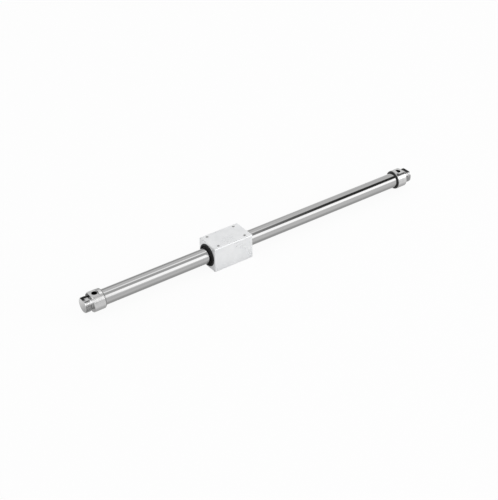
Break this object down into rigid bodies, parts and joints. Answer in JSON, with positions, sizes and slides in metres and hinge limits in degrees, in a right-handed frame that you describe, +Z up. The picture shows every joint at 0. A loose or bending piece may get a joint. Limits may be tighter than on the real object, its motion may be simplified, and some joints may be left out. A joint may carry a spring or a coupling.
{
  "type": "rodless pneumatic cylinder",
  "caption": "Magnetically coupled rodless air cylinder: a square carriage block slides on a thin round tube between two round head covers with threaded noses.",
  "frame": {"origin": "centre of the whole product's box, on the tube's axis", "axes": "+X along the tube, +Z up out of the ports and the carriage's tapped face, +Y across"},
  "size_m": [0.6748, 0.046, 0.046],
  "materials": {
    "tube_stainless": "polished stainless tube with fine lengthwise drawing lines",
    "cover_alloy": "satin electroless nickel plating on turned alloy",
    "black_anodised_alloy": "black hard anodised",
    "spring_steel": "phosphate-coated spring steel",
    "seal_rubber": "matt black nitrile rubber",
    "bumper_urethane": "cast urethane",
    "shaft_stainless": "ground stainless",
    "bearing_resin": "moulded bearing resin",
    "yoke_steel": "zinc-chromated rolled steel",
    "magnet_plating": "nickel-plated sintered magnet",
    "piston_alloy": "chromated alloy",
    "block_finish": "fine matt pale grey anodic coat",
    "lube_felt": "grease-soaked felt"
  },
  "bodies": {
    "barrel": {"cylinder_tube": "tube_stainless", "left_head_cover": "cover_alloy", "right_head_cover": "cover_alloy", "left_attachment_ring": "black_anodised_alloy", "right_attachment_ring": "black_anodised_alloy", "left_snap_ring": "spring_steel", "right_snap_ring": "spring_steel", "left_tube_gasket": "seal_rubber", "right_tube_gasket": "seal_rubber", "left_bumper": "bumper_urethane", "right_bumper": "bumper_urethane"},
    "piston_assembly": {"piston_shaft": "shaft_stainless", "left_piston": "piston_alloy", "right_piston": "piston_alloy", "left_piston_seal": "seal_rubber", "right_piston_seal": "seal_rubber", "left_piston_wear_ring": "bearing_resin", "right_piston_wear_ring": "bearing_resin", "left_piston_nut": "spring_steel", "right_piston_nut": "spring_steel", "piston_yoke_1": "yoke_steel", "piston_yoke_2": "yoke_steel", "piston_yoke_3": "yoke_steel", "piston_yoke_4": "yoke_steel", "piston_yoke_5": "yoke_steel", "piston_magnet_1": "magnet_plating", "piston_magnet_2": "magnet_plating", "piston_magnet_3": "magnet_plating", "piston_magnet_4": "magnet_plating"},
    "carriage": {"carriage_block": "block_finish", "left_scraper": "seal_rubber", "right_scraper": "seal_rubber", "left_retaining_ring": "spring_steel", "right_retaining_ring": "spring_steel", "left_carriage_wear_ring": "bearing_resin", "right_carriage_wear_ring": "bearing_resin", "left_lube_retainer": "lube_felt", "right_lube_retainer": "lube_felt", "left_spacer": "yoke_steel", "right_spacer": "yoke_steel", "carriage_yoke_1": "yoke_steel", "carriage_yoke_2": "yoke_steel", "carriage_yoke_3": "yoke_steel", "carriage_yoke_4": "yoke_steel", "carriage_yoke_5": "yoke_steel", "carriage_magnet_1": "magnet_plating", "carriage_magnet_2": "magnet_plating", "carriage_magnet_3": "magnet_plating", "carriage_magnet_4": "magnet_plating"}
  },
  "joints": [
    {"name": "piston_stroke", "type": "slide", "parent": "barrel", "child": "piston_assembly", "axis": [1, 0, 0], "range_m": [-0.1975, 0.3295]},
    {"name": "carriage_swivel", "type": "hinge", "parent": "piston_assembly", "child": "carriage", "pos_m": [-0.066, 0, 0], "axis": [1, 0, 0], "continuous": true}
  ]
}
